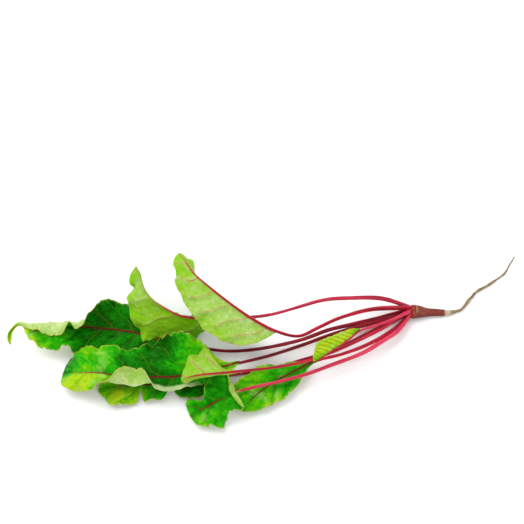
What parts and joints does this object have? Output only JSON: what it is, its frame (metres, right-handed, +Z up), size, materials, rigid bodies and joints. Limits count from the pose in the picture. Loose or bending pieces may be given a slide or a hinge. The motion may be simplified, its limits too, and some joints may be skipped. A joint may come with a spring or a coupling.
{
  "type": "beetroot plant",
  "caption": "Young beetroot pulled whole, lying flat: a slim red-brown root with a thin tail, crimson leaf stalks fanning from its crown, and ruffled green leaf blades.",
  "frame": {"origin": "a point on the flat spot that the crown rests on, at the height of the table", "axes": "+X from the crown towards the root's tip, the leaves lie towards -X, +Z up"},
  "size_m": [0.4245, 0.1583, 0.0477],
  "materials": {
    "root_skin": "matt earthy red-brown skin, tan towards the thin tail",
    "leaf_stalk": "glossy crimson with paler pink stripes along it",
    "leaf_blade": "semi-gloss quilted green, paler and more matt underneath, red veins"
  },
  "bodies": {
    "root": {"leaf_blade_1": "leaf_blade", "leaf_blade_2": "leaf_blade", "leaf_blade_3": "leaf_blade", "leaf_blade_4": "leaf_blade", "leaf_blade_5": "leaf_blade", "leaf_blade_6": "leaf_blade", "leaf_blade_7": "leaf_blade", "leaf_blade_8": "leaf_blade", "leaf_blade_9": "leaf_blade", "leaf_stalk_1": "leaf_stalk", "leaf_stalk_2": "leaf_stalk", "leaf_stalk_3": "leaf_stalk", "leaf_stalk_4": "leaf_stalk", "leaf_stalk_5": "leaf_stalk", "leaf_stalk_6": "leaf_stalk", "leaf_stalk_7": "leaf_stalk", "leaf_stalk_8": "leaf_stalk", "leaf_stalk_9": "leaf_stalk", "root": "root_skin"}
  },
  "joints": []
}
